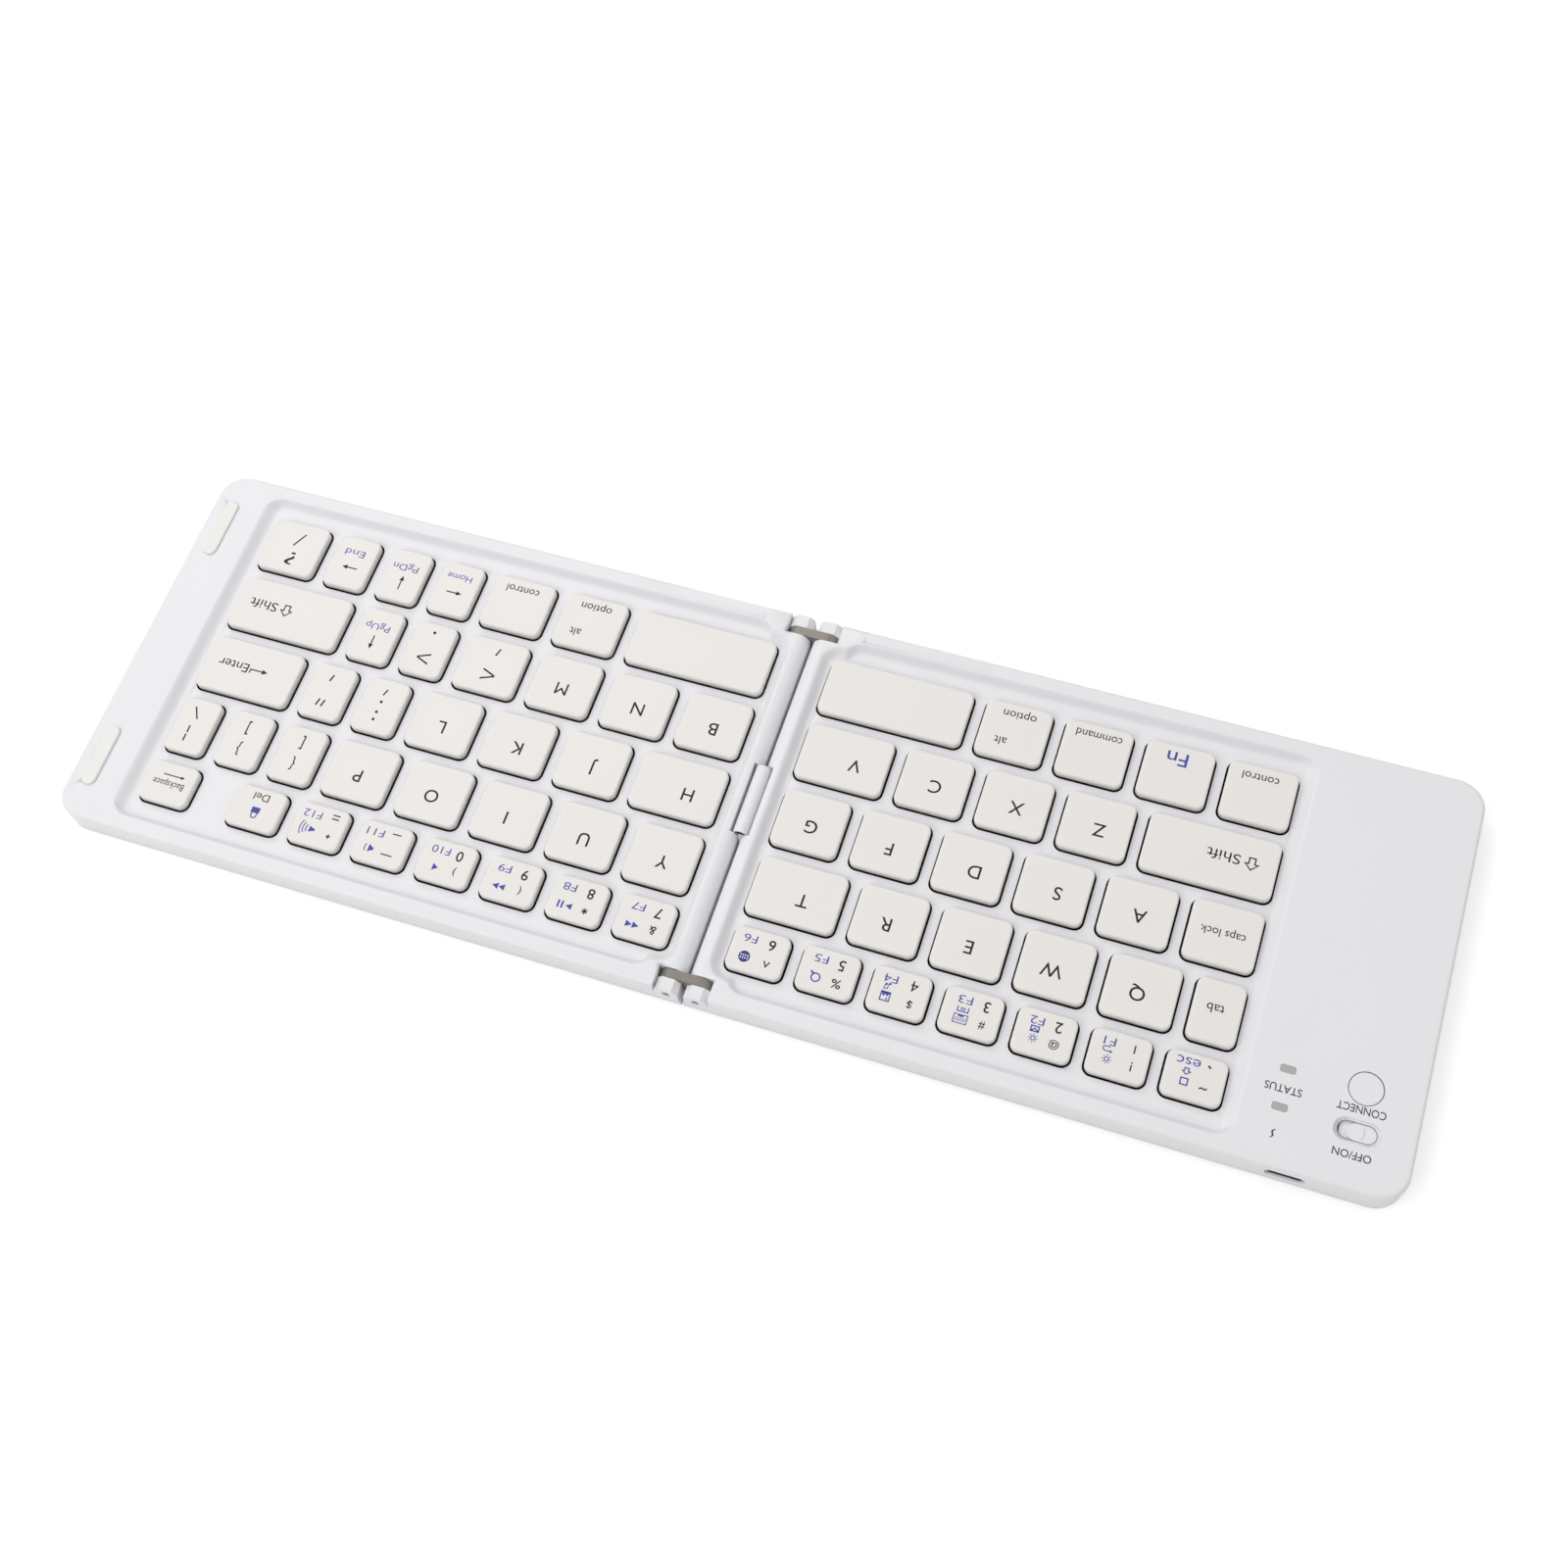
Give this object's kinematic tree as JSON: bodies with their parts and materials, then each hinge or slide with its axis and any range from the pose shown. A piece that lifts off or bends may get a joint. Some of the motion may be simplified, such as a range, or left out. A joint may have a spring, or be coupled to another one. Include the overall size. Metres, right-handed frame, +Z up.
{
  "type": "folding keyboard",
  "caption": "Flat wireless keyboard whose halves fold shut on pinned link plates, with sunken key decks, separate travelling keycaps, a slide switch and a press button",
  "frame": {"origin": "under the middle of the open keyboard, on the surface its feet stand on; the hinge plane is X = 0", "axes": "+X to the typist's right along the key rows, +Y away from the typist, +Z up out of the keys"},
  "size_m": [0.304, 0.0954, 0.0086],
  "materials": {
    "case_top": "satin moulded",
    "case_bottom": "fine texture",
    "key_plate": "stamped sheet",
    "dome_rubber": "translucent silicone on film",
    "scissor_plastic": "moulded",
    "link_metal": "grey metal",
    "pin_steel": "plain",
    "cable_film": "flexible film",
    "board": "solder mask",
    "battery_foil": "foil pouch",
    "port_steel": "plated",
    "controls": "satin moulded",
    "light_guide": "tinted clear",
    "pad_rubber": "soft matt",
    "foot_rubber": "soft matt",
    "screw_steel": "plain",
    "keycap": "fine satin"
  },
  "bodies": {
    "hinge_link": {"hinge_link_back": "link_metal", "hinge_link_front": "link_metal"},
    "left_half": {"left_top_cover": "case_top", "left_bottom_cover": "case_bottom", "left_key_plate": "key_plate", "left_dome_sheet": "dome_rubber", "left_scissors": "scissor_plastic", "left_hinge_pins": "pin_steel", "main_board": "board", "battery": "battery_foil", "usb_port": "port_steel", "status_lights": "light_guide", "left_feet": "foot_rubber", "left_screws": "screw_steel"},
    "right_half": {"right_top_cover": "case_top", "right_bottom_cover": "case_bottom", "right_key_plate": "key_plate", "right_dome_sheet": "dome_rubber", "right_scissors": "scissor_plastic", "right_hinge_pins": "pin_steel", "bumper_pads": "pad_rubber", "right_feet": "foot_rubber", "right_screws": "screw_steel"},
    "cable_sleeve": {"cable_sleeve": "case_top", "flex_cable": "cable_film"},
    "power_switch": {"power_switch": "controls"},
    "connect_button": {"connect_button": "controls"},
    "key_q": {"key_q": "keycap"},
    "key_w": {"key_w": "keycap"},
    "key_e": {"key_e": "keycap"},
    "key_r": {"key_r": "keycap"},
    "key_t": {"key_t": "keycap"},
    "key_a": {"key_a": "keycap"},
    "key_s": {"key_s": "keycap"},
    "key_d": {"key_d": "keycap"},
    "key_f": {"key_f": "keycap"},
    "key_g": {"key_g": "keycap"},
    "key_z": {"key_z": "keycap"},
    "key_x": {"key_x": "keycap"},
    "key_c": {"key_c": "keycap"},
    "key_v": {"key_v": "keycap"},
    "left_space_bar": {"left_space_bar": "keycap"},
    "left_number_keys": {"left_number_keys": "keycap"},
    "left_modifier_keys": {"left_modifier_keys": "keycap"},
    "key_y": {"key_y": "keycap"},
    "key_u": {"key_u": "keycap"},
    "key_i": {"key_i": "keycap"},
    "key_o": {"key_o": "keycap"},
    "key_p": {"key_p": "keycap"},
    "key_h": {"key_h": "keycap"},
    "key_j": {"key_j": "keycap"},
    "key_k": {"key_k": "keycap"},
    "key_l": {"key_l": "keycap"},
    "key_b": {"key_b": "keycap"},
    "key_n": {"key_n": "keycap"},
    "key_m": {"key_m": "keycap"},
    "right_space_bar": {"right_space_bar": "keycap"},
    "right_number_keys": {"right_number_keys": "keycap"},
    "right_modifier_keys": {"right_modifier_keys": "keycap"},
    "right_punctuation_keys": {"right_punctuation_keys": "keycap"}
  },
  "joints": [
    {"name": "fold_left", "type": "hinge", "parent": "hinge_link", "child": "left_half", "pos_m": [-0.0033, 0, 0.00505], "axis": [0, 1, 0], "range_deg": [0, 90]},
    {"name": "fold_right", "type": "hinge", "parent": "hinge_link", "child": "right_half", "pos_m": [0.0033, 0, 0.00505], "axis": [0, -1, 0], "range_deg": [0, 90]},
    {"name": "sleeve_slide", "type": "slide", "parent": "hinge_link", "child": "cable_sleeve", "axis": [0, 0, -1], "range_m": [0, 0.0043]},
    {"name": "power_switch_slide", "type": "slide", "parent": "left_half", "child": "power_switch", "axis": [1, 0, 0], "range_m": [0, 0.0019]},
    {"name": "connect_button_press", "type": "slide", "parent": "left_half", "child": "connect_button", "axis": [0, 0, -1], "range_m": [0, 0.0004], "stiffness_N_per_m": 1000, "springref_m": -0.0006},
    {"name": "key_q_press", "type": "slide", "parent": "left_half", "child": "key_q", "axis": [0, 0, -1], "range_m": [0, 0.0012], "stiffness_N_per_m": 100, "springref_m": -0.003},
    {"name": "key_w_press", "type": "slide", "parent": "left_half", "child": "key_w", "axis": [0, 0, -1], "range_m": [0, 0.0012], "stiffness_N_per_m": 100, "springref_m": -0.003},
    {"name": "key_e_press", "type": "slide", "parent": "left_half", "child": "key_e", "axis": [0, 0, -1], "range_m": [0, 0.0012], "stiffness_N_per_m": 100, "springref_m": -0.003},
    {"name": "key_r_press", "type": "slide", "parent": "left_half", "child": "key_r", "axis": [0, 0, -1], "range_m": [0, 0.0012], "stiffness_N_per_m": 100, "springref_m": -0.003},
    {"name": "key_t_press", "type": "slide", "parent": "left_half", "child": "key_t", "axis": [0, 0, -1], "range_m": [0, 0.0012], "stiffness_N_per_m": 100, "springref_m": -0.003},
    {"name": "key_a_press", "type": "slide", "parent": "left_half", "child": "key_a", "axis": [0, 0, -1], "range_m": [0, 0.0012], "stiffness_N_per_m": 100, "springref_m": -0.003},
    {"name": "key_s_press", "type": "slide", "parent": "left_half", "child": "key_s", "axis": [0, 0, -1], "range_m": [0, 0.0012], "stiffness_N_per_m": 100, "springref_m": -0.003},
    {"name": "key_d_press", "type": "slide", "parent": "left_half", "child": "key_d", "axis": [0, 0, -1], "range_m": [0, 0.0012], "stiffness_N_per_m": 100, "springref_m": -0.003},
    {"name": "key_f_press", "type": "slide", "parent": "left_half", "child": "key_f", "axis": [0, 0, -1], "range_m": [0, 0.0012], "stiffness_N_per_m": 100, "springref_m": -0.003},
    {"name": "key_g_press", "type": "slide", "parent": "left_half", "child": "key_g", "axis": [0, 0, -1], "range_m": [0, 0.0012], "stiffness_N_per_m": 100, "springref_m": -0.003, "deforming": ["left_dome_sheet", "left_scissors"]},
    {"name": "key_z_press", "type": "slide", "parent": "left_half", "child": "key_z", "axis": [0, 0, -1], "range_m": [0, 0.0012], "stiffness_N_per_m": 100, "springref_m": -0.003},
    {"name": "key_x_press", "type": "slide", "parent": "left_half", "child": "key_x", "axis": [0, 0, -1], "range_m": [0, 0.0012], "stiffness_N_per_m": 100, "springref_m": -0.003},
    {"name": "key_c_press", "type": "slide", "parent": "left_half", "child": "key_c", "axis": [0, 0, -1], "range_m": [0, 0.0012], "stiffness_N_per_m": 100, "springref_m": -0.003},
    {"name": "key_v_press", "type": "slide", "parent": "left_half", "child": "key_v", "axis": [0, 0, -1], "range_m": [0, 0.0012], "stiffness_N_per_m": 100, "springref_m": -0.003},
    {"name": "left_space_bar_press", "type": "slide", "parent": "left_half", "child": "left_space_bar", "axis": [0, 0, -1], "range_m": [0, 0.0012], "stiffness_N_per_m": 100, "springref_m": -0.003},
    {"name": "left_number_keys_press", "type": "slide", "parent": "left_half", "child": "left_number_keys", "axis": [0, 0, -1], "range_m": [0, 0.0012], "stiffness_N_per_m": 700, "springref_m": -0.003},
    {"name": "left_modifier_keys_press", "type": "slide", "parent": "left_half", "child": "left_modifier_keys", "axis": [0, 0, -1], "range_m": [0, 0.0012], "stiffness_N_per_m": 700, "springref_m": -0.003},
    {"name": "key_y_press", "type": "slide", "parent": "right_half", "child": "key_y", "axis": [0, 0, -1], "range_m": [0, 0.0012], "stiffness_N_per_m": 100, "springref_m": -0.003},
    {"name": "key_u_press", "type": "slide", "parent": "right_half", "child": "key_u", "axis": [0, 0, -1], "range_m": [0, 0.0012], "stiffness_N_per_m": 100, "springref_m": -0.003},
    {"name": "key_i_press", "type": "slide", "parent": "right_half", "child": "key_i", "axis": [0, 0, -1], "range_m": [0, 0.0012], "stiffness_N_per_m": 100, "springref_m": -0.003},
    {"name": "key_o_press", "type": "slide", "parent": "right_half", "child": "key_o", "axis": [0, 0, -1], "range_m": [0, 0.0012], "stiffness_N_per_m": 100, "springref_m": -0.003},
    {"name": "key_p_press", "type": "slide", "parent": "right_half", "child": "key_p", "axis": [0, 0, -1], "range_m": [0, 0.0012], "stiffness_N_per_m": 100, "springref_m": -0.003},
    {"name": "key_h_press", "type": "slide", "parent": "right_half", "child": "key_h", "axis": [0, 0, -1], "range_m": [0, 0.0012], "stiffness_N_per_m": 100, "springref_m": -0.003, "deforming": ["right_dome_sheet", "right_scissors"]},
    {"name": "key_j_press", "type": "slide", "parent": "right_half", "child": "key_j", "axis": [0, 0, -1], "range_m": [0, 0.0012], "stiffness_N_per_m": 100, "springref_m": -0.003},
    {"name": "key_k_press", "type": "slide", "parent": "right_half", "child": "key_k", "axis": [0, 0, -1], "range_m": [0, 0.0012], "stiffness_N_per_m": 100, "springref_m": -0.003},
    {"name": "key_l_press", "type": "slide", "parent": "right_half", "child": "key_l", "axis": [0, 0, -1], "range_m": [0, 0.0012], "stiffness_N_per_m": 100, "springref_m": -0.003},
    {"name": "key_b_press", "type": "slide", "parent": "right_half", "child": "key_b", "axis": [0, 0, -1], "range_m": [0, 0.0012], "stiffness_N_per_m": 100, "springref_m": -0.003},
    {"name": "key_n_press", "type": "slide", "parent": "right_half", "child": "key_n", "axis": [0, 0, -1], "range_m": [0, 0.0012], "stiffness_N_per_m": 100, "springref_m": -0.003},
    {"name": "key_m_press", "type": "slide", "parent": "right_half", "child": "key_m", "axis": [0, 0, -1], "range_m": [0, 0.0012], "stiffness_N_per_m": 100, "springref_m": -0.003},
    {"name": "right_space_bar_press", "type": "slide", "parent": "right_half", "child": "right_space_bar", "axis": [0, 0, -1], "range_m": [0, 0.0012], "stiffness_N_per_m": 100, "springref_m": -0.003},
    {"name": "right_number_keys_press", "type": "slide", "parent": "right_half", "child": "right_number_keys", "axis": [0, 0, -1], "range_m": [0, 0.0012], "stiffness_N_per_m": 800, "springref_m": -0.003},
    {"name": "right_modifier_keys_press", "type": "slide", "parent": "right_half", "child": "right_modifier_keys", "axis": [0, 0, -1], "range_m": [0, 0.0012], "stiffness_N_per_m": 800, "springref_m": -0.003},
    {"name": "right_punctuation_keys_press", "type": "slide", "parent": "right_half", "child": "right_punctuation_keys", "axis": [0, 0, -1], "range_m": [0, 0.0012], "stiffness_N_per_m": 800, "springref_m": -0.003}
  ],
  "couplings": [
    {"joint": "fold_right", "follows": "fold_left", "ratio": 1},
    {"joint": "sleeve_slide", "follows": "fold_left", "m_per_rad": 0.002737}
  ]
}
